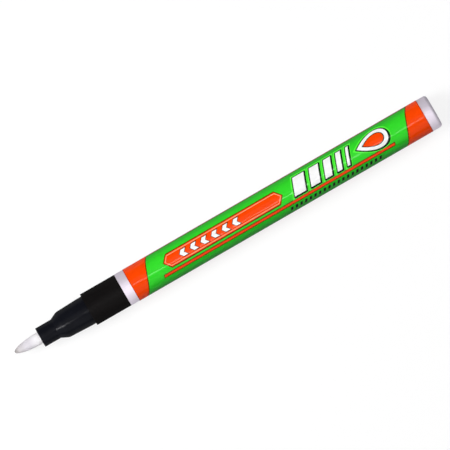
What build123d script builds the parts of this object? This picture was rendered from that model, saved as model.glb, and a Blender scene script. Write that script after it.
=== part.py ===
from build123d import *

import os
from math import sqrt

# Slim valve-action paint marker without its cap, lying on its side.
# The marker lies along X with its nib towards -X, and its label rests on Z = 0.
# X = 0 is the middle of its length. Stations along the marker count from the nib's tip.
# All sizes are in millimetres.

# Nib, and the lengths of what follows it along the outside
NIB_DIAMETER = 3.5
NIB_BULLET = 8.0  # length of the nib's rounded point
NIB_REACH = 8.2  # how far the nib stands out of the nozzle
NOZZLE_LENGTH = 5.0
SHOULDER_LENGTH = 2.2
NOSE_LENGTH = 8.4
CAP_SEAT_LENGTH = 1.5  # the cap grips here, at the back of the nose
COLLAR_LENGTH = 11.0
FRONT_BARE_LENGTH = 2.7  # bare aluminium ahead of the label
LABEL_LENGTH = 94.7
REAR_BARE_LENGTH = 3.1  # bare aluminium behind the label

# Nib holder, which carries the nib on the valve stem
HOLDER_WALL = 0.5
HOLDER_SOCKET_DEPTH = 3.0
HOLDER_WEB = 0.8
HOLDER_BOSS_DEPTH = 1.8
HOLDER_BACK_ROOM = 1.0  # left between the holder and the valve seat when the nib is pressed in
HOLDER_RIBS = 4
HOLDER_RIB_WIDTH = 0.6

# Nose
NIB_CLEARANCE = 0.06
NIB_GROOVES = 4
NIB_GROOVE_WIDTH = 0.6
NIB_GROOVE_DEPTH = 0.3
NOZZLE_WALL = 1.14
CHAMBER_SETBACK = 0.6  # from the back of the shoulder to the paint chamber
CHAMBER_GAP = 0.62  # room for paint round the nib holder
NOSE_WALL = 1.13
CAP_SEAT_RISE = 0.28
NOSE_TAIL_LENGTH = 4.2
NOSE_TAIL_WALL = 0.8
MOULDED_EDGE = 0.15  # small edge radius on the black mouldings

# Valve
VALVE_TRAVEL = 2.0
VALVE_SEAT_LENGTH = 2.6
VALVE_PORT_GAP = 0.5  # room for paint round the stem
VALVE_LIP_HEIGHT = 0.5
VALVE_LIP_WIDTH = 0.3
STEM_DIAMETER = 2.0
STEM_HEAD_OVERLAP = 0.3  # how far the head reaches past the valve's lip
STEM_HEAD_LENGTH = 1.2
STEM_TAIL_DIAMETER = 1.6
STEM_TAIL_REACH = 1.0  # how far the tail stands out behind the spring cup
STEM_TAIL_CLEARANCE = 0.06
STEM_TIP_CHAMFER = 0.2
WASHER_THICKNESS = 0.8

# Spring and spring cup
SPRING_WIRE = 0.4
SPRING_TURNS = 7
SPRING_TAIL_GAP = 0.7  # room between the stem's tail and the coils
SPRING_END_GAP = 0.05
CUP_LEDGE = 0.5  # width of the collar's ledge behind the valve seat
CUP_WALL = 0.6
CUP_FRONT_ROOM = 0.3
CUP_END_WALL = 0.9
CUP_FLANGE_WIDTH = 0.8
CUP_PORTS = 4
CUP_PORT_DIAMETER = 1.1

# Collar spigot and its seal
SPIGOT_WALL = 1.3
SPIGOT_LENGTH = 8.0
SPIGOT_LEAD_IN = 0.3
SEAL_SETBACK = 3.5  # from the barrel's mouth to the middle of the seal
SEAL_GROOVE_DEPTH = 0.6
SEAL_SIDE_ROOM = 0.2

# Barrel and label
BARREL_WALL = 0.4
BARREL_BASE = 0.8
BARREL_CORNER = 0.9
BARREL_INNER_CORNER = 0.5
BARREL_LIP_CHAMFER = 0.1
LABEL_GLUE = 0.01
LABEL_FILM = 0.06

# Mixing ball, loose in the barrel
BALL_DIAMETER = 5.0
BALL_CLEARANCE = 0.1
BALL_END_ROOM = 0.3

# Radial play of pieces that are pressed together
PRESS_CLEARANCE = 0.02

# Stations along the outside
nozzle_front = NIB_REACH
shoulder_front = nozzle_front + NOZZLE_LENGTH
nose_front = shoulder_front + SHOULDER_LENGTH
collar_front = nose_front + NOSE_LENGTH
cap_seat_front = collar_front - CAP_SEAT_LENGTH
mouth = collar_front + COLLAR_LENGTH
label_front = mouth + FRONT_BARE_LENGTH
label_rear = label_front + LABEL_LENGTH
rear_end = label_rear + REAR_BARE_LENGTH

# Stations along the inside
chamber_front = nose_front + CHAMBER_SETBACK
valve_seat_front = collar_front + NOSE_TAIL_LENGTH
valve_seat_rear = valve_seat_front + VALVE_SEAT_LENGTH
washer_front = valve_seat_rear + VALVE_LIP_HEIGHT
head_front = washer_front + WASHER_THICKNESS
head_rear = head_front + STEM_HEAD_LENGTH
cup_front = valve_seat_rear + CUP_FRONT_ROOM
spigot_rear = mouth + SPIGOT_LENGTH
cup_rear = spigot_rear + CUP_END_WALL
stem_rear = cup_rear + STEM_TAIL_REACH
holder_rear = valve_seat_front - VALVE_TRAVEL - HOLDER_BACK_ROOM
boss_floor = holder_rear - HOLDER_BOSS_DEPTH
socket_floor = boss_floor - HOLDER_WEB
holder_front = socket_floor - HOLDER_SOCKET_DEPTH

# Radii from the nib outwards to the label
nib_radius = NIB_DIAMETER / 2
nib_bore_radius = nib_radius + NIB_CLEARANCE
nozzle_radius = nib_bore_radius + NOZZLE_WALL
holder_socket_radius = nib_radius + PRESS_CLEARANCE
holder_radius = holder_socket_radius + HOLDER_WALL
chamber_radius = holder_radius + CHAMBER_GAP
holder_guide_radius = chamber_radius - NIB_CLEARANCE
nose_radius = chamber_radius + NOSE_WALL
cap_seat_radius = nose_radius + CAP_SEAT_RISE
tail_radius = chamber_radius + NOSE_TAIL_WALL
collar_socket_radius = tail_radius + PRESS_CLEARANCE
cup_radius = tail_radius - CUP_LEDGE
cup_inner_radius = cup_radius - CUP_WALL
cup_flange_radius = cup_radius + CUP_FLANGE_WIDTH
cup_bore_radius = cup_radius + PRESS_CLEARANCE
spigot_radius = cup_bore_radius + SPIGOT_WALL
seal_groove_radius = spigot_radius - SEAL_GROOVE_DEPTH
barrel_bore_radius = spigot_radius + PRESS_CLEARANCE
barrel_radius = barrel_bore_radius + BARREL_WALL
label_inner_radius = barrel_radius + LABEL_GLUE
label_radius = label_inner_radius + LABEL_FILM
ball_radius = BALL_DIAMETER / 2

# Radii of the valve from its stem outwards
stem_radius = STEM_DIAMETER / 2
stem_bore_radius = stem_radius + PRESS_CLEARANCE
port_radius = stem_radius + VALVE_PORT_GAP
lip_radius = port_radius + VALVE_LIP_WIDTH
head_radius = lip_radius + STEM_HEAD_OVERLAP
stem_tail_radius = STEM_TAIL_DIAMETER / 2
tail_hole_radius = stem_tail_radius + STEM_TAIL_CLEARANCE
spring_radius = stem_tail_radius + SPRING_TAIL_GAP + SPRING_WIRE / 2

# The half section is drawn as (station, radius) and turned about the marker's axis.
HALF_SECTION = Plane(origin=(-rear_end / 2, 0, label_radius), x_dir=(1, 0, 0), z_dir=(0, -1, 0))
MARKER_AXIS = Axis(HALF_SECTION.origin, (1, 0, 0))


def across(station):
    """Plane square to the marker at a station, facing the rear end."""
    return Plane(origin=HALF_SECTION.from_local_coords((station, 0, 0)), x_dir=(0, 1, 0), z_dir=(1, 0, 0))


# Barrel: an extruded aluminium can, closed at the rear end with a rounded corner
with BuildPart() as barrel:
    with BuildSketch(HALF_SECTION):
        with BuildLine():
            Polyline(
                (mouth, barrel_bore_radius),
                (mouth, barrel_radius),
                (rear_end, barrel_radius),
                (rear_end, 0),
                (rear_end - BARREL_BASE, 0),
                (rear_end - BARREL_BASE, barrel_bore_radius),
                close=True,
            )
        make_face()
        fillet(vertices().group_by(Axis.X)[1].sort_by(Axis.Y)[-1], BARREL_INNER_CORNER)
        fillet(vertices().group_by(Axis.X)[-1].sort_by(Axis.Y)[-1], BARREL_CORNER)
        chamfer(vertices().group_by(Axis.X)[0], BARREL_LIP_CHAMFER)
    revolve(axis=MARKER_AXIS)
barrel.part.label = "barrel"

# Label: printed film wrapped round the barrel and glued to it
with BuildPart() as label_sleeve:
    with BuildSketch(across(label_front)):
        Circle(label_radius)
        Circle(label_inner_radius, mode=Mode.SUBTRACT)
    extrude(amount=LABEL_LENGTH)
label_sleeve.part.label = "label_sleeve"

# The seal's round section fills the groove from its floor to the barrel's bore.
seal_radius = (barrel_bore_radius - seal_groove_radius) / 2 - PRESS_CLEARANCE
seal_middle = (mouth + SEAL_SETBACK, (barrel_bore_radius + seal_groove_radius) / 2)

# Collar: black moulding flush with the barrel. Its spigot is pressed into the barrel's mouth,
# and its bore holds the nose's tail, the valve seat and the spring cup.
with BuildPart() as collar:
    with BuildSketch(HALF_SECTION):
        with BuildLine():
            Polyline(
                (collar_front, collar_socket_radius),
                (collar_front, barrel_radius),
                (mouth, barrel_radius),
                (mouth, spigot_radius),
                (spigot_rear, spigot_radius),
                (spigot_rear, cup_bore_radius),
                (valve_seat_rear, cup_bore_radius),
                (valve_seat_rear, collar_socket_radius),
                close=True,
            )
        make_face()
        fillet(vertices().group_by(Axis.X)[0].sort_by(Axis.Y)[-1], MOULDED_EDGE)
        chamfer(vertices().group_by(Axis.X)[-1].sort_by(Axis.Y)[-1], SPIGOT_LEAD_IN)
        with Locations((seal_middle[0], spigot_radius)):
            Rectangle(2 * seal_radius + SEAL_SIDE_ROOM, 2 * SEAL_GROOVE_DEPTH, mode=Mode.SUBTRACT)
    revolve(axis=MARKER_AXIS)
collar.part.label = "collar"

# Barrel seal: a rubber ring in the spigot's groove, closed against the barrel's bore
with BuildPart() as barrel_seal:
    with BuildSketch(HALF_SECTION):
        with Locations(seal_middle):
            Circle(seal_radius)
    revolve(axis=MARKER_AXIS)
barrel_seal.part.label = "barrel_seal"

# Nose: black moulding with the nozzle, the shoulder, the cap's seat and a tail inside the collar.
# Grooves along the nozzle's bore let air past the nib.
with BuildPart() as nose:
    with BuildSketch(HALF_SECTION):
        with BuildLine():
            Polyline(
                (nozzle_front, nib_bore_radius),
                (nozzle_front, nozzle_radius),
                (shoulder_front, nozzle_radius),
                (nose_front, nose_radius),
                (cap_seat_front, cap_seat_radius),
                (collar_front, cap_seat_radius),
                (collar_front, tail_radius),
                (valve_seat_front, tail_radius),
                (valve_seat_front, chamber_radius),
                (chamber_front, chamber_radius),
                (chamber_front, nib_bore_radius),
                close=True,
            )
        make_face()
        fillet(vertices().group_by(Axis.X)[0].sort_by(Axis.Y)[-1], MOULDED_EDGE)
    revolve(axis=MARKER_AXIS)
    with BuildSketch(across(nozzle_front)):
        with PolarLocations(nib_bore_radius, NIB_GROOVES):
            Rectangle(2 * NIB_GROOVE_DEPTH, NIB_GROOVE_WIDTH)
    extrude(amount=chamber_front - nozzle_front, mode=Mode.SUBTRACT)
nose.part.label = "nose"

# Nib: a rod of bonded fibre with a bullet point, a half ellipse in section
with BuildPart() as nib:
    with BuildSketch(HALF_SECTION):
        with BuildLine():
            EllipticalCenterArc((NIB_BULLET, 0), NIB_BULLET, nib_radius, start_angle=90, arc_size=90)
            Polyline(
                (NIB_BULLET, nib_radius),
                (socket_floor, nib_radius),
                (socket_floor, 0),
                (0, 0),
            )
        make_face()
    revolve(axis=MARKER_AXIS)
nib.part.label = "nib"

# Nib holder: a cup on the front of the valve stem, guided by ribs in the nose's chamber
with BuildPart() as nib_holder:
    with BuildSketch(HALF_SECTION):
        with BuildLine():
            Polyline(
                (holder_front, holder_socket_radius),
                (holder_front, holder_radius),
                (holder_rear, holder_radius),
                (holder_rear, stem_bore_radius),
                (boss_floor, stem_bore_radius),
                (boss_floor, 0),
                (socket_floor, 0),
                (socket_floor, holder_socket_radius),
                close=True,
            )
        make_face()
    revolve(axis=MARKER_AXIS)
    with BuildSketch(across(holder_front)):
        with PolarLocations(0, HOLDER_RIBS):
            Rectangle(holder_guide_radius, HOLDER_RIB_WIDTH, align=(Align.MIN, Align.CENTER))
        Circle(holder_guide_radius, mode=Mode.INTERSECT)
        Circle(holder_radius - HOLDER_WALL / 2, mode=Mode.SUBTRACT)
    extrude(amount=holder_rear - holder_front)
nib_holder.part.label = "nib_holder"

# Valve seat: a plastic disc clamped between the nose's tail and the collar's ledge,
# with a raised lip round its port for the washer to close on
with BuildPart() as valve_seat:
    with BuildSketch(HALF_SECTION):
        with BuildLine():
            Polyline(
                (valve_seat_front, port_radius),
                (valve_seat_front, tail_radius),
                (valve_seat_rear, tail_radius),
                (valve_seat_rear, lip_radius),
                (washer_front, lip_radius),
                (washer_front, port_radius),
                close=True,
            )
        make_face()
    revolve(axis=MARKER_AXIS)
valve_seat.part.label = "valve_seat"

# Stem washer: a rubber disc under the stem's head, which closes the valve
with BuildPart() as stem_washer:
    with BuildSketch(across(washer_front)):
        Circle(head_radius)
        Circle(stem_bore_radius, mode=Mode.SUBTRACT)
    extrude(amount=WASHER_THICKNESS)
stem_washer.part.label = "stem_washer"

# Valve stem: a rod from the nib holder through the valve's port, with a head that the spring
# pushes on and a tail that slides in the spring cup
with BuildPart() as valve_stem:
    with BuildSketch(HALF_SECTION):
        with BuildLine():
            Polyline(
                (boss_floor, 0),
                (boss_floor, stem_radius),
                (head_front, stem_radius),
                (head_front, head_radius),
                (head_rear, head_radius),
                (head_rear, stem_tail_radius),
                (stem_rear, stem_tail_radius),
                (stem_rear, 0),
                close=True,
            )
        make_face()
        chamfer(vertices().group_by(Axis.X)[0].sort_by(Axis.Y)[-1], STEM_TIP_CHAMFER)
        chamfer(vertices().group_by(Axis.X)[-1].sort_by(Axis.Y)[-1], STEM_TIP_CHAMFER)
    revolve(axis=MARKER_AXIS)
valve_stem.part.label = "valve_stem"

# Spring cup: a plastic thimble pressed into the collar up to its flange. The spring stands on
# its floor, which has a hole for the stem's tail and ports for the paint.
with BuildPart() as spring_cup:
    with BuildSketch(HALF_SECTION):
        with BuildLine():
            Polyline(
                (cup_front, cup_inner_radius),
                (cup_front, cup_radius),
                (spigot_rear, cup_radius),
                (spigot_rear, cup_flange_radius),
                (cup_rear, cup_flange_radius),
                (cup_rear, tail_hole_radius),
                (spigot_rear, tail_hole_radius),
                (spigot_rear, cup_inner_radius),
                close=True,
            )
        make_face()
    revolve(axis=MARKER_AXIS)
    with BuildSketch(across(spigot_rear)):
        with PolarLocations((tail_hole_radius + cup_inner_radius) / 2, CUP_PORTS):
            Circle(CUP_PORT_DIAMETER / 2)
    extrude(amount=CUP_END_WALL, mode=Mode.SUBTRACT)
spring_cup.part.label = "spring_cup"


def biarc(start, start_tangent, end, end_tangent):
    """Draw two arcs that leave the start and reach the end along the given tangents."""
    chord = end - start
    spread = 2 * (1 - start_tangent.dot(end_tangent))
    along = chord.dot(start_tangent + end_tangent)
    reach = (sqrt(along**2 + spread * chord.dot(chord)) - along) / spread
    before = start + start_tangent * reach
    after = end - end_tangent * reach
    middle = (before + after) / 2
    TangentArc(start, middle, tangent=start_tangent)
    TangentArc(middle, end, tangent=after - before)


# Valve spring: steel wire coiled round the stem's tail, between its head and the cup's floor
spring_front = head_rear + SPRING_END_GAP + SPRING_WIRE / 2
spring_rear = spigot_rear - SPRING_END_GAP - SPRING_WIRE / 2
spring_pitch = (spring_rear - spring_front) / SPRING_TURNS
half_turns = 2 * SPRING_TURNS
with BuildPart() as valve_spring:
    with BuildLine() as spring_path:
        coil = Helix(
            pitch=spring_pitch,
            height=spring_rear - spring_front,
            radius=spring_radius,
            center=across(spring_front).origin,
            direction=(1, 0, 0),
            mode=Mode.PRIVATE,
        )
        for half_turn in range(half_turns):
            start = half_turn / half_turns
            end = (half_turn + 1) / half_turns
            biarc(coil @ start, coil % start, coil @ end, coil % end)
    with BuildSketch(Plane(origin=coil @ 0, z_dir=coil % 0)):
        Circle(SPRING_WIRE / 2)
    sweep(path=spring_path.wires()[0])
valve_spring.part.label = "valve_spring"

# Mixing ball: a steel ball that lies loose in the barrel, here at its rear end
ball_station = rear_end - BARREL_BASE - BALL_END_ROOM - ball_radius
ball_drop = barrel_bore_radius - BALL_CLEARANCE - ball_radius
with BuildPart() as mixing_ball:
    with Locations(HALF_SECTION.from_local_coords((ball_station, -ball_drop, 0))):
        Sphere(ball_radius)
mixing_ball.part.label = "mixing_ball"

ball_travel = ball_station - ball_radius - BALL_END_ROOM - VALVE_TRAVEL - stem_rear
print(f"length {rear_end:.2f} mm, label diameter {2 * label_radius:.2f} mm")
print(f"nib travel {VALVE_TRAVEL:.2f} mm, ball travel {ball_travel:.2f} mm")
print(f"gap between the spring's turns {spring_pitch - SPRING_WIRE:.2f} mm at rest")

os.makedirs("parts", exist_ok=True)
pieces = [
    barrel,
    label_sleeve,
    collar,
    barrel_seal,
    nose,
    nib,
    nib_holder,
    valve_seat,
    stem_washer,
    valve_stem,
    spring_cup,
    valve_spring,
    mixing_ball,
]
for piece in pieces:
    export_step(piece.part, f"parts/{piece.part.label}.step")
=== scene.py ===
from functools import reduce
from math import atan2, cos, pi, radians, sin, tau
from operator import or_

import bmesh
import bpy
from mathutils import Matrix, Vector


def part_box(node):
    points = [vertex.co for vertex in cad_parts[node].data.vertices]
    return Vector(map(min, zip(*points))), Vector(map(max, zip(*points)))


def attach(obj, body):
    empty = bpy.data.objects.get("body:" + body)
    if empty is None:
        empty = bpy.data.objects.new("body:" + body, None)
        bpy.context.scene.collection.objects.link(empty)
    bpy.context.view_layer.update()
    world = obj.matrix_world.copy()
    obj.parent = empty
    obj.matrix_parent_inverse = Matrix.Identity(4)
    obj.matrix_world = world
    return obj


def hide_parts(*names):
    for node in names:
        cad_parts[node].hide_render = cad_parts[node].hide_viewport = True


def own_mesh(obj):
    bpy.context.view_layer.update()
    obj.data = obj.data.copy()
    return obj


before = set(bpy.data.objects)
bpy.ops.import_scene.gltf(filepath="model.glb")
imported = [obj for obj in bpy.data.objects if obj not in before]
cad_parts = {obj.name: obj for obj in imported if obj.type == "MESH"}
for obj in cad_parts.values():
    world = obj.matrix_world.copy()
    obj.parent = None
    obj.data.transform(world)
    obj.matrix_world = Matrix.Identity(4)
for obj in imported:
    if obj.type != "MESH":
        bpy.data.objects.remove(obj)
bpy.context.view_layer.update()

# Barrel: an impact-extruded aluminium can, open at the front and closed at the rear with a round corner.
# It is washed and left bare, with faint draw lines along it and turning marks on its flat end. Its rear
# corner carries painted shade, darker towards the end.
barrel_low, barrel_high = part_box("barrel")
label_low, label_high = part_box("label_sleeve")
axis_height = (label_low.z + label_high.z) / 2
marker_axis = Vector((0, 0, axis_height))
barrel_wall = 0.0004
barrel_end_wall = 0.0008
barrel_radius = (barrel_high.y - barrel_low.y) / 2
barrel_bore_radius = barrel_radius - barrel_wall
barrel_floor = barrel_high.x - barrel_end_wall
barrel_corner = 0.0009
barrel_inner_corner = 0.0005
barrel_lip = 0.0001
turning_pitch = 0.00022
end_skin = 0.00002
wear_threshold = 0.62
round_segments = 5
crease_angle = radians(32)
merge_distance = 1e-7


def turned(outline, cut_flat=(), rings=(), closed=True, steps=240):
    """Spin an outline round the marker's axis.

    Each corner is an x, a radius and the size of its round. Corners numbered in cut_flat
    get a flat in place of the round. Rings cut at x keep a straight wall's shading straight.
    """
    bm = bmesh.new()
    corners = [bm.verts.new((x, 0, axis_height + radius)) for x, radius, _ in outline]
    following = corners[1:] + corners[:1] if closed else corners[1:]
    for start, end in zip(corners, following):
        bm.edges.new((start, end))
    for number, (_, _, size) in enumerate(outline):
        if size:
            bmesh.ops.bevel(
                bm,
                geom=[corners[number]],
                offset=size,
                segments=1 if number in cut_flat else round_segments,
                profile=0.5,
                affect="VERTICES",
                material=-1,
            )
    bmesh.ops.spin(
        bm,
        geom=bm.verts[:] + bm.edges[:],
        cent=marker_axis,
        axis=(1, 0, 0),
        angle=tau,
        steps=steps,
        use_merge=True,
    )
    bmesh.ops.remove_doubles(bm, verts=bm.verts[:], dist=merge_distance)
    for x in rings:
        geometry = bm.verts[:] + bm.edges[:] + bm.faces[:]
        bmesh.ops.bisect_plane(bm, geom=geometry, plane_co=(x, 0, 0), plane_no=(1, 0, 0))
    bmesh.ops.recalc_face_normals(bm, faces=bm.faces[:])
    return bm


def fitted(name, bm, material, body, node):
    """Make a finished piece of a bmesh, which stands for a node and moves with its body."""
    mesh = bpy.data.meshes.new(name)
    bm.to_mesh(mesh)
    bm.free()
    mesh.shade_smooth()
    mesh.set_sharp_from_angle(angle=crease_angle)
    mesh.materials.append(material)
    piece = bpy.data.objects.new(name, mesh)
    bpy.context.scene.collection.objects.link(piece)
    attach(piece, body)
    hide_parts(node)
    return piece


class Signal:
    """A value or colour inside a material. Arithmetic with it adds Math nodes."""

    def __init__(self, tree, socket=None):
        self.tree = tree
        self.socket = socket

    def fill(self, node, sockets):
        """Give a node's sockets their values or links."""
        for name, value in sockets.items():
            if isinstance(value, Signal):
                self.tree.links.new(value.socket, node.inputs[name])
            else:
                node.inputs[name].default_value = value

    def node(self, kind, settings, sockets, output=0):
        """Add a node of any kind: its settings, then its sockets."""
        made = self.tree.nodes.new("ShaderNode" + kind)
        for name, value in settings.items():
            setattr(made, name, value)
        self.fill(made, sockets)
        return Signal(self.tree, made.outputs[output])

    def math(self, operation, first, second=0.0):
        """Add a Math node."""
        return self.node("Math", {"operation": operation}, {0: first, 1: second})

    def __add__(self, other):
        return self.math("ADD", self, other)

    def __sub__(self, other):
        return self.math("SUBTRACT", self, other)

    def __rsub__(self, other):
        return self.math("SUBTRACT", other, self)

    def __mul__(self, other):
        return self.math("MULTIPLY", self, other)

    def __truediv__(self, other):
        return self.math("DIVIDE", self, other)

    def __lt__(self, other):
        return self.math("LESS_THAN", self, other)

    def __gt__(self, other):
        return self.math("GREATER_THAN", self, other)

    def __and__(self, other):
        return self.math("MULTIPLY", self, other)

    def __or__(self, other):
        return self.math("MAXIMUM", self, other)

    def __mod__(self, other):
        return self.math("FLOORED_MODULO", self, other)

    def __abs__(self):
        return self.math("ABSOLUTE", self)


def ink(red, green, blue):
    """A colour as a printer mixes it, from 0 to 255, made linear."""
    shares = [value / 255 for value in (red, green, blue)]
    linear = [
        share / 12.92 if share <= 0.04045 else ((share + 0.055) / 1.055) ** 2.4
        for share in shares
    ]
    return (*linear, 1)


def new_material(name):
    """A material with its first signal, from which its other nodes are made."""
    material = bpy.data.materials.new(name)
    material.use_nodes = True
    return material, Signal(material.node_tree)


def surface(signal, sockets):
    """Set the sockets of the material's surface."""
    signal.fill(signal.tree.nodes["Principled BSDF"], sockets)


def position(signal):
    """The place on the piece, in metres."""
    return signal.node("TexCoord", {}, {}, output="Object")


def coordinate(place, axis):
    """How far a place lies along X, or from the marker's axis along Y or Z."""
    distance = place.node("SeparateXYZ", {}, {0: place}, output=axis)
    return distance - axis_height if axis == "Z" else distance


def grain(place, *grains):
    """Noise from 0 to 1, with this many grains to a metre along x, y and z."""
    stretched = place.node("VectorMath", {"operation": "MULTIPLY"}, {0: place, 1: grains})
    return place.node("TexNoise", {}, {"Vector": stretched, "Scale": 1.0, "Detail": 3.0})


def ramp(value, start, end):
    """A rise from 0 at the start to 1 at the end, level beyond both."""
    return value.node("MapRange", {}, {0: value, 1: start, 2: end})


def blend(factor, first, second):
    """One colour turning into another. Sockets 6 and 7 of a Mix node take the colours."""
    return factor.node("Mix", {"data_type": "RGBA"}, {0: factor, 6: first, 7: second}, output=2)


def relief(height, depth):
    """Surface relief from a height between 0 and 1 and its real depth in metres."""
    return height.node("Bump", {}, {"Distance": depth, "Height": height})


light_metal = ink(228, 219, 230)
dull_metal = ink(208, 201, 212)
# Darker metal, for the turning marks and for the painted shade on the rear corner.
dark_metal_and_painted_shade = ink(150, 147, 156)

bare_aluminium, metal = new_material("bare_aluminium")
place = position(metal)
x, y, z = (coordinate(place, axis) for axis in "XYZ")
draw_lines = grain(place, 60, 5200, 5200)
haze = grain(place, 500, 500, 500)
on_end = x > barrel_high.x - end_skin
end_radius = metal.math("SQRT", y * y + z * z)
turning_marks = metal.math("SINE", end_radius * (tau / turning_pitch)) * 0.5 + 0.5
end_rings = turning_marks * on_end
corner_start = barrel_high.x - barrel_corner
on_corner = (x > corner_start) & (1 - on_end)
corner_wear = on_corner & (grain(place, 2600, 2600, 2600) > wear_threshold)
# Painted shade: the rear corner's round is coloured darker towards the flat end.
painted_corner_shade = ramp(x, corner_start, barrel_high.x - barrel_corner / 4) & (1 - on_end)
clean_metal = blend(draw_lines * 0.5 + corner_wear * 0.35, light_metal, dull_metal)
surface(
    metal,
    {
        "Base Color": blend(painted_corner_shade * 0.42 + end_rings * 0.2, clean_metal, dark_metal_and_painted_shade),
        "Metallic": 0.55,
        "Roughness": draw_lines * 0.14 + haze * 0.12 + corner_wear * 0.1 + 0.56,
        "Specular IOR Level": 0.0,
        "Specular Tint": (0.45, 0.48, 0.58, 1),
        "Normal": relief(draw_lines * (1 - on_end) + end_rings * 3, depth=0.000003),
    },
)
barrel_outline = [
    (barrel_high.x, 0, 0),
    (barrel_high.x, barrel_radius, barrel_corner),
    (barrel_low.x, barrel_radius, barrel_lip),
    (barrel_low.x, barrel_bore_radius, barrel_lip),
    (barrel_floor, barrel_bore_radius, barrel_inner_corner),
    (barrel_floor, 0, 0),
]
barrel_rings = (barrel_low.x + 2 * barrel_lip, corner_start - barrel_lip)
barrel = turned(barrel_outline, rings=barrel_rings, closed=False)
fitted("barrel_can", barrel, bare_aluminium, "marker_body", "barrel")

# Label: glossy printed film, wrapped round the barrel and glued to it, with its ends lapped at the back.
# The print is a green panel on orange: a stripe with chevrons, slanted bars, a paint drop and fine ticks.
# It is laid out in millimetres, along from the film's front edge and around from the top of the marker.
film_thickness = 0.00006
film_corner = 0.00002
lap_start = radians(-150)
lap_end = radians(-122)
lap_rise = 0.00005
label_radius = (label_high.y - label_low.y) / 2
label_inner_radius = label_radius - film_thickness
millimetres = 1000
label_length = (label_high.x - label_low.x) * millimetres

slant = 0.36
cut_edge = 0.2
panel_along = (5.4, 88.8)
panel_around = (-9.6, 6.3)
panel_outline = 0.28
panel_middle = 0.5
painted_light_fade = (1.5, 4.0)
painted_shade_fade = (3.2, 7.0)
# Painted shade: a brown band along the panel's upper edge, on the upper rim.
shade_line_around = (6.3, 7.5)
back_along = (6, 88)
back_wide_around = (9.6, 10.6)
back_thin_around = (11.8, 12.2)
back_outline = 0.2
fine_along = (10.5, 84.5)
fine_around = (-3.1, -2.4)
fine_outline = 0.24
stripe_along = (11, 49)
stripe_middle = 0.7
stripe_half_height = 2
stripe_point = 0.8
stripe_inlay = (-0.3, -0.52)
chevron_start = 15.5
chevron_pitch = 3.4
chevron_count = 6
chevron_stroke = (0.6, 2.0)
chevron_half_height = 1.0
chevron_outline = 0.22
tick_pitch = 1.5
tick_width = 0.75
ticks_along = (51, 81)
ticks_around = (-5.2, -3.9)
bars_start = 52.6
bar_widths = (3.6, 2.9, 2.2, 1.5, 0.8)
bar_gap = 1.7
bars_around = (-1.5, 3.8)
drop_start = 73.4
drop_length = 9.8
drop_half_height = 2.8
drop_middle = 1.2
drop_fullness = 2.6
drop_inlay = (-0.95, -1.2)
point_growth = 1.7
length_growth = 2.9
motif_glow = 0.75
motif_outline = 0.3
motif_shade = 0.25

orange = ink(255, 72, 3)
edge_orange = ink(196, 60, 8)
pale_orange = ink(255, 176, 132)
green = ink(47, 209, 41)
light_green = ink(86, 246, 64)
# Greens for the panel's gradient: part print, part painted light on top and painted shade at the edges.
top_green_print_and_light = ink(54, 222, 46)
edge_green_print_and_shade = ink(32, 158, 38)
outline_brown = ink(84, 46, 4)
shade_brown = ink(132, 78, 10)
outline_green = ink(8, 44, 14)
white = ink(252, 252, 252)
black = ink(12, 22, 10)

printed_film, film = new_material("printed_film")
place = position(film)
x, y, z = (coordinate(place, axis) for axis in "XYZ")
along = (x - label_low.x) * millimetres
around = film.math("ARCTAN2", y, z) * (label_radius * millimetres)
leaning = along - around * slant
off_stripe = abs(around - stripe_middle)
off_panel_middle = abs(around - panel_middle)


def within(value, limits, grow=0.0):
    """A mask where a value lies between two limits, widened on both sides."""
    low, high = limits
    return (value > low - grow) & (value < high + grow)


def panel(grow):
    """The green panel over the upper side of the label."""
    return within(leaning, panel_along, grow) & within(around, panel_around, grow)


def upper_edge_shade_line():
    """A narrow brown band of painted shade along the panel's upper edge."""
    return within(leaning, panel_along, panel_outline) & within(around, shade_line_around)


def back_lines(grow):
    """Two thin lines along the back of the label."""
    lines = within(around, back_wide_around, grow) | within(around, back_thin_around, grow)
    return lines & within(along, back_along, grow)


def fine_line(grow):
    """A thin line under the stripe and the bars."""
    return within(leaning, fine_along, grow) & within(around, fine_around, grow)


def pointed_stripe(grow):
    """A long stripe with pointed ends."""
    start, end = stripe_along
    point = off_stripe * stripe_point
    between_points = (along - point > start - grow) & (along + point < end + grow)
    return between_points & (off_stripe < stripe_half_height + grow)


def chevrons(grow):
    """Chevrons on the stripe, pointing at the nib."""
    folded = along - off_stripe * stripe_point - chevron_start
    strokes = within(folded % chevron_pitch, chevron_stroke, grow)
    run = within(folded, (0, chevron_count * chevron_pitch))
    return strokes & run & (off_stripe < chevron_half_height + grow)


def ticks():
    """A row of fine slanted ticks under the line."""
    strokes = leaning % tick_pitch < tick_width
    return strokes & within(leaning, ticks_along) & within(around, ticks_around)


def slanted_bars(grow, shade=0.0):
    """A run of slanted bars that get thinner towards the rear, or the shade beside them."""
    bars = []
    start = bars_start + shade
    for width in bar_widths:
        bars.append(within(leaning, (start, start + width), grow))
        start += width + bar_gap
    return reduce(or_, bars) & within(around + shade, bars_around, grow)


def paint_drop(grow, shade=0.0):
    """A drop of paint, pointed at the front and round at the rear, or the shade beside it."""
    start = drop_start + shade - point_growth * grow
    share = (along - start) / (drop_length + length_growth * grow)
    swell = share * film.math("SQRT", abs(1 - share))
    half_height = swell * (drop_fullness * (drop_half_height + grow))
    return within(share, (0, 1)) & (abs(around + shade - drop_middle) < half_height)


# The panel's green is lighter along the top of the marker and darker towards its long edges: part print,
# part painted light and painted shade.
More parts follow.
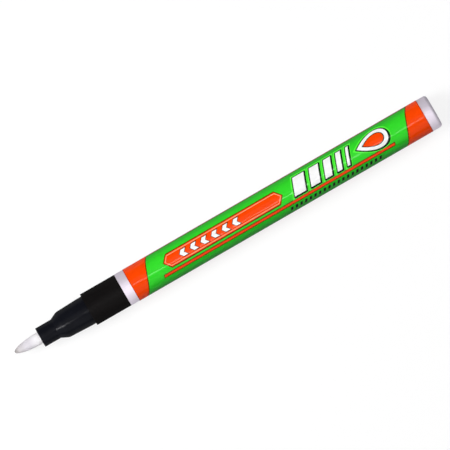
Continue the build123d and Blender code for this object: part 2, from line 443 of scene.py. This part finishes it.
green_with_painted_top_light = blend(ramp(off_panel_middle, *painted_light_fade), top_green_print_and_light, green)
green_with_painted_edge_shade = blend(ramp(off_panel_middle, *painted_shade_fade), green_with_painted_top_light, edge_green_print_and_shade)
layers = [
    (upper_edge_shade_line(), shade_brown),
    (panel(panel_outline), outline_brown),
    (panel(0), green_with_painted_edge_shade),
    (back_lines(back_outline), outline_brown),
    (back_lines(0), green),
    (fine_line(fine_outline), outline_brown),
    (fine_line(0), orange),
    (pointed_stripe(motif_outline), outline_brown),
    (pointed_stripe(0), orange),
    (pointed_stripe(stripe_inlay[0]), pale_orange),
    (pointed_stripe(stripe_inlay[1]), orange),
    (chevrons(chevron_outline), outline_brown),
    (chevrons(0), white),
    (ticks(), black),
    (slanted_bars(motif_glow), light_green),
    (slanted_bars(motif_outline, motif_shade), outline_green),
    (slanted_bars(motif_outline), outline_green),
    (slanted_bars(0), white),
    (paint_drop(motif_glow), light_green),
    (paint_drop(motif_outline, motif_shade), outline_green),
    (paint_drop(motif_outline), outline_green),
    (paint_drop(0), white),
    (paint_drop(drop_inlay[0]), outline_green),
    (paint_drop(drop_inlay[1]), orange),
    (1 - within(along, (cut_edge, label_length - cut_edge)), edge_orange),
]
print_colour = orange
for mask, colour in layers:
    print_colour = blend(mask, print_colour, colour)
ink_mottle = grain(place, 900, 900, 900)
scuffs = grain(place, 350, 9000, 9000)
surface(
    film,
    {
        "Base Color": blend(ink_mottle * 0.1, print_colour, black),
        "Roughness": ink_mottle * 0.1 + scuffs * 0.1 + 0.35,
        "Specular IOR Level": 0.0,
        "Coat Weight": 0.28 - scuffs * 0.14,
        "Coat Roughness": 0.12,
        "Normal": relief(ink_mottle, depth=0.000002),
    },
)
label_outline = [
    (label_low.x, label_inner_radius, 0),
    (label_low.x, label_radius, film_corner),
    (label_high.x, label_radius, film_corner),
    (label_high.x, label_inner_radius, 0),
]
label_rings = (label_low.x + 5 * film_corner, label_high.x - 5 * film_corner)
label = turned(label_outline, rings=label_rings)
for vert in label.verts:
    spoke = Vector((0, vert.co.y, vert.co.z - axis_height))
    if lap_start < atan2(spoke.y, spoke.z) < lap_end:
        vert.co += spoke.normalized() * lap_rise
fitted("label_film", label, printed_film, "marker_body", "label_sleeve")

# Collar: a black moulding flush with the barrel, its spigot pressed into the barrel's mouth.
# Its outside is spark-textured to a dull finish, with the mould's parting line along both sides.
collar_low, collar_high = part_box("collar")
seal_low, seal_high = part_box("barrel_seal")
collar_socket_radius = 0.00371
cup_bore_radius = 0.00321
spigot_clearance = 0.00002
spigot_radius = barrel_bore_radius - spigot_clearance
seal_room = 0.0001
seal_groove_depth = 0.0006
seal_groove_radius = spigot_radius - seal_groove_depth
ledge_setback = 0.0005
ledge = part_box("valve_seat")[1].x - ledge_setback
moulded_edge = 0.00015
flush_edge = 0.00004
spigot_lead = 0.0003
parting_half_width = 0.00003


def parting_line(place):
    """A mask on the line where the two halves of the mould met."""
    return abs(coordinate(place, "Z")) < parting_half_width


dull_black, dull = new_material("dull_black_plastic")
place = position(dull)
spark_texture = grain(place, 9000, 9000, 9000)
rubbed = grain(place, 260, 700, 700)
surface(
    dull,
    {
        "Base Color": blend(rubbed, ink(15, 14, 14), ink(24, 22, 22)),
        "Roughness": spark_texture * 0.12 + rubbed * 0.1 + 0.5,
        "Specular IOR Level": 0.0,
        "Coat Weight": 0.06 - rubbed * 0.03,
        "Coat Roughness": 0.4,
        "Normal": relief(spark_texture + parting_line(place), depth=0.000008),
    },
)
collar_outline = [
    (collar_low.x, collar_socket_radius, 0),
    (collar_low.x, barrel_radius, moulded_edge),
    (barrel_low.x, barrel_radius, flush_edge),
    (barrel_low.x, spigot_radius, 0),
    (seal_low.x - seal_room, spigot_radius, 0),
    (seal_low.x - seal_room, seal_groove_radius, 0),
    (seal_high.x + seal_room, seal_groove_radius, 0),
    (seal_high.x + seal_room, spigot_radius, 0),
    (collar_high.x, spigot_radius, spigot_lead),
    (collar_high.x, cup_bore_radius, 0),
    (ledge, cup_bore_radius, 0),
    (ledge, collar_socket_radius, 0),
]
collar_rings = (collar_low.x + 2 * moulded_edge, barrel_low.x - moulded_edge)
collar = turned(collar_outline, rings=collar_rings)
fitted("front_collar", collar, dull_black, "marker_body", "collar")

# Nose: a black moulding with a polished outside, pressed into the collar. The nozzle guides the nib,
# and four grooves in its bore let air back in. The straight part at the back takes the cap.
nose_low, nose_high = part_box("nose")
nib_low, nib_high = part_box("nib")
nib_radius = (nib_high.y - nib_low.y) / 2
nib_clearance = 0.00006
nib_bore_radius = nib_radius + nib_clearance
nozzle_wall = 0.00114
nozzle_radius = nib_bore_radius + nozzle_wall
nozzle_length = 0.005
shoulder_length = 0.0022
shoulder_radius = 0.00402
shoulder_front = nose_low.x + nozzle_length
shoulder_rear = shoulder_front + shoulder_length
cap_seat_length = 0.0015
cap_seat_front = collar_low.x - cap_seat_length
cap_seat_radius = (nose_high.y - nose_low.y) / 2
guide_length = 0.0006
chamber_front = shoulder_rear + guide_length
chamber_radius = 0.00289
tail_radius = 0.00369
neck_fillet = 0.00008
shoulder_flat = 0.0003
cap_seat_round = 0.0004
air_groove_depth = 0.0003
air_groove_half_angle = radians(9.6)
bore_tolerance = 1e-6

polished_black, polish = new_material("polished_black_plastic")
place = position(polish)
fine_scratches = grain(place, 700, 7000, 7000)
flow_marks = grain(place, 300, 300, 300)
surface(
    polish,
    {
        "Base Color": blend(flow_marks, ink(14, 15, 20), ink(22, 23, 29)),
        "Roughness": fine_scratches * 0.1 + flow_marks * 0.08 + 0.34,
        "Specular IOR Level": 0.0,
        "Coat Weight": 0.15 - fine_scratches * 0.06,
        "Coat Roughness": 0.2,
        "Normal": relief(fine_scratches * 0.2 + parting_line(place), depth=0.000004),
    },
)
nose_outline = [
    (nose_low.x, nib_bore_radius, 0),
    (nose_low.x, nozzle_radius, moulded_edge),
    (shoulder_front, nozzle_radius, neck_fillet),
    (shoulder_rear, shoulder_radius, shoulder_flat),
    (cap_seat_front, cap_seat_radius, cap_seat_round),
    (collar_low.x, cap_seat_radius, 0),
    (collar_low.x, tail_radius, 0),
    (nose_high.x, tail_radius, 0),
    (nose_high.x, chamber_radius, 0),
    (chamber_front, chamber_radius, 0),
    (chamber_front, nib_bore_radius, 0),
]
shoulder_corner = 3
nose = turned(nose_outline, cut_flat=(shoulder_corner,))
for direction in (Vector((1, 0)), Vector((0, 1)), Vector((-1, 0)), Vector((0, -1))):
    groove = []
    for vert in nose.verts:
        spoke = Vector((vert.co.y, vert.co.z - axis_height))
        in_bore = spoke.length < nib_bore_radius + bore_tolerance
        if in_bore and spoke.angle(direction) < air_groove_half_angle:
            groove.append(vert)
    deeper = 1 + air_groove_depth / nib_bore_radius
    centred = Matrix.Translation(-marker_axis)
    bmesh.ops.scale(nose, vec=(1, deeper, deeper), space=centred, verts=groove)
fitted("nose_cone", nose, polished_black, "marker_body", "nose")

# Nib: a rod of bonded polyester fibres, ground to a bullet point. Its fibres run along it.
# The fibre is darker towards the point, and beside the nozzle it is painted lighter: painted light.
bullet_length = 0.008
bullet_steps = 28
nib_facets = 144
darkest_length = 0.0012
darker_length = 0.0035
painted_light_start = 0.0048
painted_light_end = 0.0075

bonded_fibre, fibre = new_material("bonded_fibre")
place = position(fibre)
x = coordinate(place, "X")
fibres = grain(place, 500, 11000, 11000)
tufts = grain(place, 1800, 3000, 3000)
# Greyer towards the point, and darkest over the last stretch.
darkest_near_point = ramp(x, nib_low.x + darkest_length, nib_low.x)
darker_near_point = ramp(x, nib_low.x + darker_length, nib_low.x)
# Painted light: beside the nozzle the fibre is coloured lighter, where the nozzle shades it.
painted_light_near_nozzle = ramp(x, nib_low.x + painted_light_start, nib_low.x + painted_light_end)
plain_fibre = blend(fibres * 0.6, ink(221, 217, 223), ink(204, 200, 208))
painted_light_fibre = blend(fibres * 0.6, ink(255, 254, 255), ink(246, 243, 248))
nib_colour = blend(painted_light_near_nozzle, plain_fibre, painted_light_fibre)
nib_colour = blend(darker_near_point * (tufts * 0.6 + 0.6), nib_colour, ink(176, 170, 167))
nib_colour = blend(darkest_near_point * (tufts * 0.6 + 0.4), nib_colour, ink(116, 114, 113))
surface(
    fibre,
    {
        "Base Color": nib_colour,
        "Roughness": fibres * 0.2 + 0.7,
        "Specular IOR Level": 0.2,
        "Normal": relief(fibres * 0.7 + tufts * 0.3, depth=0.00003),
    },
)
nib_outline = []
for step in range(bullet_steps + 1):
    turn = pi / 2 * step / bullet_steps
    from_point = bullet_length * (1 - cos(turn))
    nib_outline.append((nib_low.x + from_point, nib_radius * sin(turn), 0))
nib_outline += [(nib_high.x, nib_radius, 0), (nib_high.x, 0, 0)]
nib = turned(nib_outline, closed=False, steps=nib_facets)
fitted("bullet_nib", nib, bonded_fibre, "plunger", "nib")

# Valve: unpainted polypropylene mouldings inside the collar and the nose. The holder and the stem move
# with the nib, the seat and the spring cup stay. The plastic is milky, with a slight flow pattern.
milky_plastic, milk = new_material("milky_plastic")
place = position(milk)
flow = grain(place, 400, 900, 900)
surface(
    milk,
    {
        "Base Color": blend(flow, ink(232, 230, 224), ink(215, 213, 205)),
        "Roughness": flow * 0.2 + 0.35,
        "Subsurface Weight": 0.2,
        "Subsurface Radius": (0.001, 0.001, 0.0009),
        "Subsurface Scale": 1.0,
        "Normal": relief(flow, depth=0.000005),
    },
)


def dress(material, *nodes):
    """Give the part's own solids a material."""
    for name in nodes:
        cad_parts[name].material_slots[0].material = material


dress(milky_plastic, "nib_holder", "valve_seat", "valve_stem", "spring_cup")

# Seals: moulded nitrile rubber, dull black with a dusting of bloom. The washer is stretched over the stem,
# and the ring sits in the groove of the collar's spigot.
seal_rubber, rubber = new_material("seal_rubber")
place = position(rubber)
bloom = grain(place, 1500, 1500, 1500)
surface(
    rubber,
    {
        "Base Color": blend(bloom, ink(30, 30, 31), ink(52, 52, 53)),
        "Roughness": bloom * 0.2 + 0.6,
        "Normal": relief(bloom, depth=0.000006),
    },
)
dress(seal_rubber, "stem_washer", "barrel_seal")

# Spring and mixing ball: bright steel. The spring is wound from drawn wire and stands on the cup's floor.
# The ball is tumbled smooth and rolls loose in the barrel.
spring_low, spring_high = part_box("valve_spring")
spring_length = spring_high.x - spring_low.x
wire_radius = 0.0002
wire_sides = 12
spring_turns = 7
steps_per_turn = 48
coil_steps = spring_turns * steps_per_turn
coil_radius = (spring_high.y - spring_low.y) / 2 - wire_radius
coil_length = spring_length - 2 * wire_radius

bright_steel, steel = new_material("bright_steel")
place = position(steel)
tumbling = grain(place, 3500, 3500, 3500)
surface(
    steel,
    {
        "Base Color": blend(tumbling, ink(200, 198, 195), ink(178, 176, 174)),
        "Metallic": 1.0,
        "Roughness": tumbling * 0.2 + 0.16,
        "Normal": relief(tumbling, depth=0.000002),
    },
)
dress(bright_steel, "mixing_ball")
wire_start = Matrix.Translation((spring_low.x + wire_radius, 0, axis_height + coil_radius))
wire_end_on = wire_start @ Matrix.Rotation(radians(90), 4, "X")
coil = bmesh.new()
bmesh.ops.create_circle(coil, segments=wire_sides, radius=wire_radius, matrix=wire_end_on)
bmesh.ops.spin(
    coil,
    geom=coil.verts[:] + coil.edges[:],
    cent=marker_axis,
    axis=(1, 0, 0),
    dvec=(coil_length / coil_steps, 0, 0),
    angle=tau * spring_turns,
    steps=coil_steps,
)
bmesh.ops.holes_fill(coil, edges=[edge for edge in coil.edges if edge.is_boundary])
bmesh.ops.recalc_face_normals(coil, faces=coil.faces[:])
spring = fitted("valve_coil", coil, bright_steel, "marker_body", "valve_spring")
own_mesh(spring)

# Table: a wide white sheet under the marker, which keeps a soft shadow of it.
# It looks white from every side and in reflections, and lights the marker no more than grey paper does.
sheet_half_width = 3.0
sheet_grey = 0.2
paper_grey = 0.5

table = bmesh.new()
bmesh.ops.create_grid(table, x_segments=1, y_segments=1, size=sheet_half_width)
table_mesh = bpy.data.meshes.new("table")
table.to_mesh(table_mesh)
table.free()
white_sheet, sheet = new_material("white_sheet")
rays = ("Is Camera Ray", "Is Glossy Ray", "Is Transmission Ray")
seen = reduce(or_, [sheet.node("LightPath", {}, {}, output=ray) for ray in rays])
paper = (paper_grey, paper_grey, paper_grey, 1)
shaded_sheet = (sheet_grey, sheet_grey, sheet_grey, 1)
surface(
    sheet,
    {
        "Base Color": blend(seen, paper, shaded_sheet),
        "Roughness": 0.9,
        "Specular IOR Level": 0.0,
        "Emission Color": blend(seen, (0, 0, 0, 1), (1, 1, 1, 1)),
        "Emission Strength": 1 - sheet_grey,
    },
)
table_mesh.materials.append(white_sheet)
floor = bpy.data.objects.new("table", table_mesh)
bpy.context.scene.collection.objects.link(floor)

# Light: a wide soft box over the marker and a key box beyond each end of it, the front one stronger.
# A small card fills the shaded side of the nib. The keys and that card light without a reflection,
# two narrow strips and a side card only draw highlights, and the room is a plain grey.
world = bpy.data.worlds.new("room")
world.use_nodes = True
room = world.node_tree.nodes["Background"].inputs
room["Color"].default_value = (0.96, 0.96, 1.0, 1)
room["Strength"].default_value = 0.06
bpy.context.scene.world = world
shoulder = Vector((shoulder_rear, 0, axis_height))
label_middle = Vector(((label_low.x + label_high.x) / 2, 0, axis_height))
nib_middle = Vector(((nib_low.x + nose_low.x) / 2, 0, axis_height))


def soft_box(name, aim, place, length, width, power):
    """A rectangular lamp at a place in metres, aimed at a point, with its length along the marker."""
    lamp = bpy.data.lights.new(name, "AREA")
    lamp.shape = "RECTANGLE"
    lamp.size = length
    lamp.size_y = width
    lamp.energy = power
    box = bpy.data.objects.new(name, lamp)
    back = (place - aim).normalized()
    across = back.cross((1, 0, 0)).normalized()
    box.rotation_euler = Matrix((across.cross(back), across, back)).transposed().to_euler()
    box.location = place
    bpy.context.scene.collection.objects.link(box)
    return box


soft_box("wide_box", marker_axis, Vector((0, 0.1, 1.1)), length=2.4, width=0.8, power=5.4)
rear_key = soft_box(
    "rear_key", marker_axis, Vector((0.75, 0.22, 0.85)), length=0.5, width=0.5, power=3.4
)
front_key = soft_box(
    "front_key", marker_axis, Vector((-0.75, 0.22, 0.85)), length=0.5, width=0.5, power=10.2
)
above_label = label_middle + Vector((0, -0.03, 0.35))
top_strip = soft_box("top_strip", label_middle, above_label, length=0.13, width=0.035, power=0.25)
front_strip = soft_box(
    "front_strip", shoulder, Vector((-0.33, -0.09, 0.409)), length=0.333, width=0.06, power=2.3
)
side_card = soft_box(
    "side_card", marker_axis, Vector((0, -0.77, 0.64)), length=2.4, width=0.9, power=7.0
)
beside_nib = nib_middle + Vector((-0.025, -0.03, 0.012))
nib_card = soft_box("nib_card", nib_middle, beside_nib, length=0.03, width=0.02, power=0.005)
nib_card.visible_camera = False
for box in (rear_key, front_key, nib_card):
    box.visible_glossy = False
for box in (top_strip, front_strip, side_card):
    box.visible_diffuse = False

# Camera: a long lens straight above the marker, turned so that the marker rises to the right.
# Its distance and its shift give the marker the size and the place that it has in the photograph.
marker_tilt = radians(30)
photo_side = 450
pixels_per_metre = 3578
marker_middle = (224.5, 231.3)
lens = 1000

camera_data = bpy.data.cameras.new("camera")
camera_data.lens = lens
camera = bpy.data.objects.new("camera", camera_data)
right = Vector((cos(marker_tilt), -sin(marker_tilt), 0))
up = Vector((sin(marker_tilt), cos(marker_tilt), 0))
across_photo = (photo_side / 2 - marker_middle[0]) / pixels_per_metre
up_photo = (marker_middle[1] - photo_side / 2) / pixels_per_metre
distance = photo_side / pixels_per_metre * lens / camera_data.sensor_width
camera.location = marker_axis + right * across_photo + up * up_photo + Vector((0, 0, distance))
camera.rotation_euler = (0, 0, -marker_tilt)
bpy.context.scene.collection.objects.link(camera)
bpy.context.scene.camera = camera
bpy.context.scene.view_settings.view_transform = "Standard"
